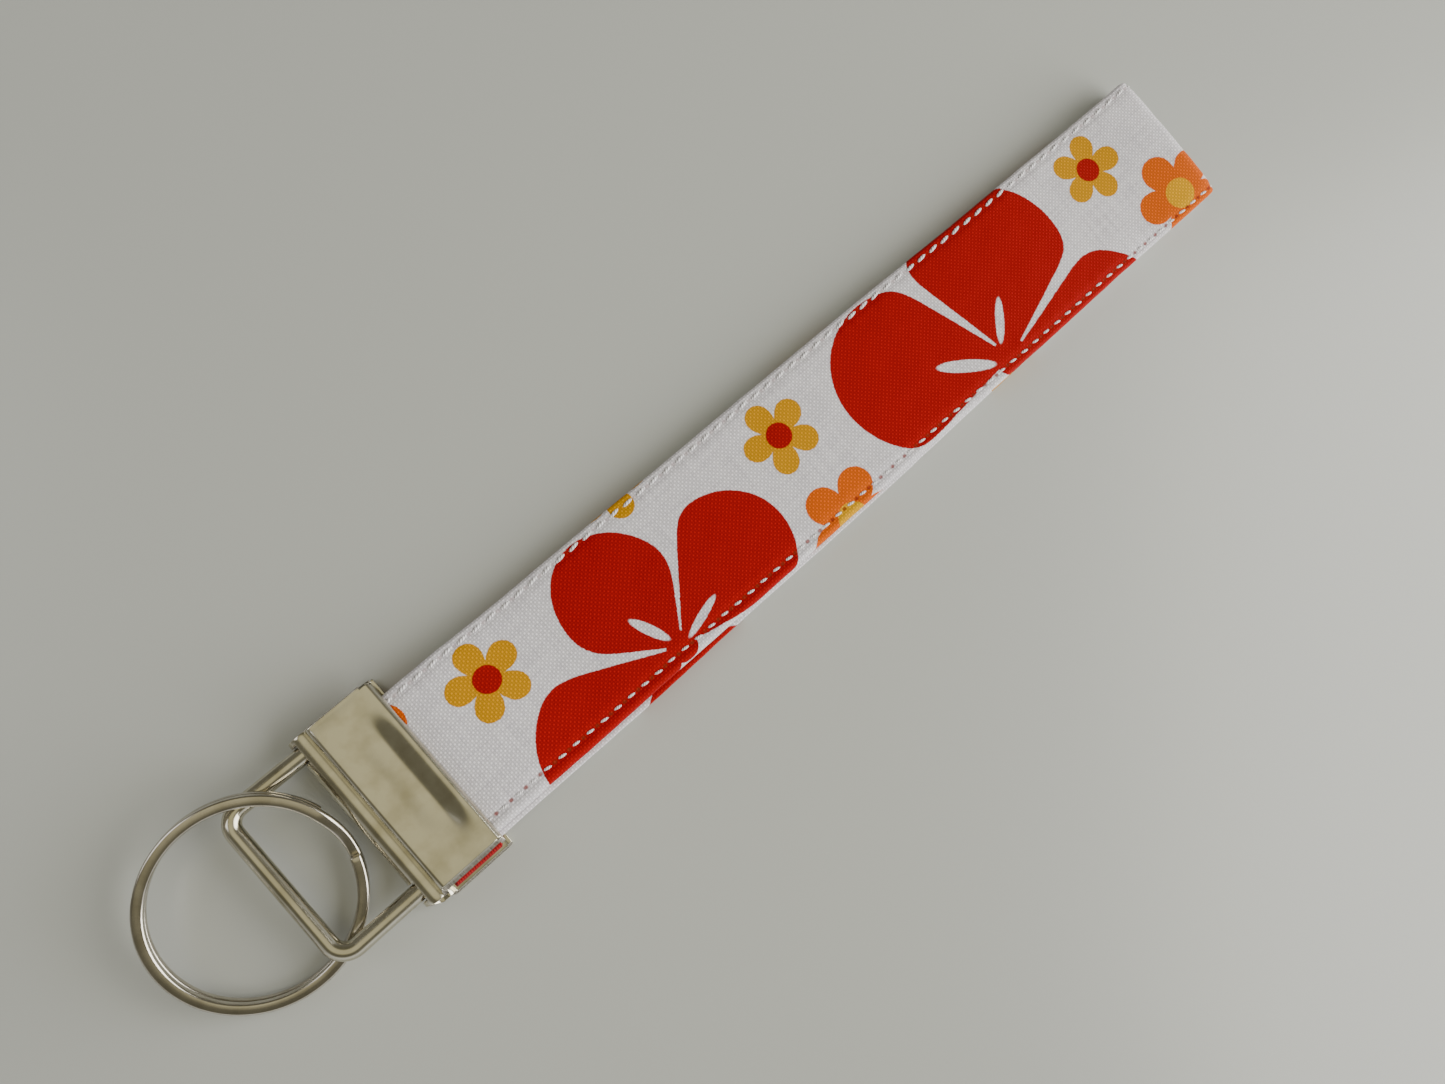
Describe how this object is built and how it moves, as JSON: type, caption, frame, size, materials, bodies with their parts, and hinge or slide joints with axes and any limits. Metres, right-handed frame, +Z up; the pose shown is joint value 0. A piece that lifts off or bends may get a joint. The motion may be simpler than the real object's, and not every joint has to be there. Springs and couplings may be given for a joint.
{
  "type": "wristlet keychain",
  "caption": "Flat wristlet key fob: a printed fabric strap folded in half, crimped in a metal end clamp with a hinged wire bail that carries a split key ring.",
  "frame": {"origin": "under the middle of the whole object's box, on the surface that it lies on", "axes": "+X along the strap from the split ring to the fold, +Y across the strap towards its left edge, +Z up from the surface"},
  "size_m": [0.217, 0.0328, 0.0101],
  "materials": {
    "clamp_nickel": "bright nickel plate on folded steel sheet, bare striated metal on the sheared ends",
    "bail_nickel": "bright nickel plate on round steel wire, faint drawing lines along it",
    "ring_steel": "bright nickel plate on flat spring-steel wire, fine scratches from keys",
    "printed_cotton": "plain-weave cotton printed with large red, yellow and orange flowers on white",
    "core_webbing": "undyed cotton webbing, matt",
    "red_cotton": "plain-weave cotton, solid red, matt",
    "white_thread": "spun polyester sewing thread, slight sheen",
    "red_thread": "spun polyester sewing thread, red"
  },
  "bodies": {
    "clamp": {"end_clamp": "clamp_nickel", "clamped_strap_end": "printed_cotton"},
    "bail": {"bail": "bail_nickel"},
    "ring": {"split_ring": "ring_steel"},
    "strap": {"print_cover": "printed_cotton", "strap_core": "core_webbing", "red_lining": "red_cotton", "needle_thread_right": "white_thread", "needle_thread_left": "white_thread", "bobbin_thread_right": "red_thread", "bobbin_thread_left": "red_thread"}
  },
  "joints": [
    {"name": "bail_swing", "type": "hinge", "parent": "clamp", "child": "bail", "pos_m": [-0.07328, -0.00064, 0.00365], "axis": [0, 1, 0], "range_deg": [-80, 8]},
    {"name": "ring_flip", "type": "hinge", "parent": "bail", "child": "ring", "pos_m": [-0.09258, 0.00066, 0.00507], "axis": [1, 0, 0], "range_deg": [0, 150]},
    {"name": "strap_bend", "type": "hinge", "parent": "clamp", "child": "strap", "pos_m": [-0.05893, -0.00164, 0.00365], "axis": [0, -1, 0], "range_deg": [-60, 60]}
  ]
}
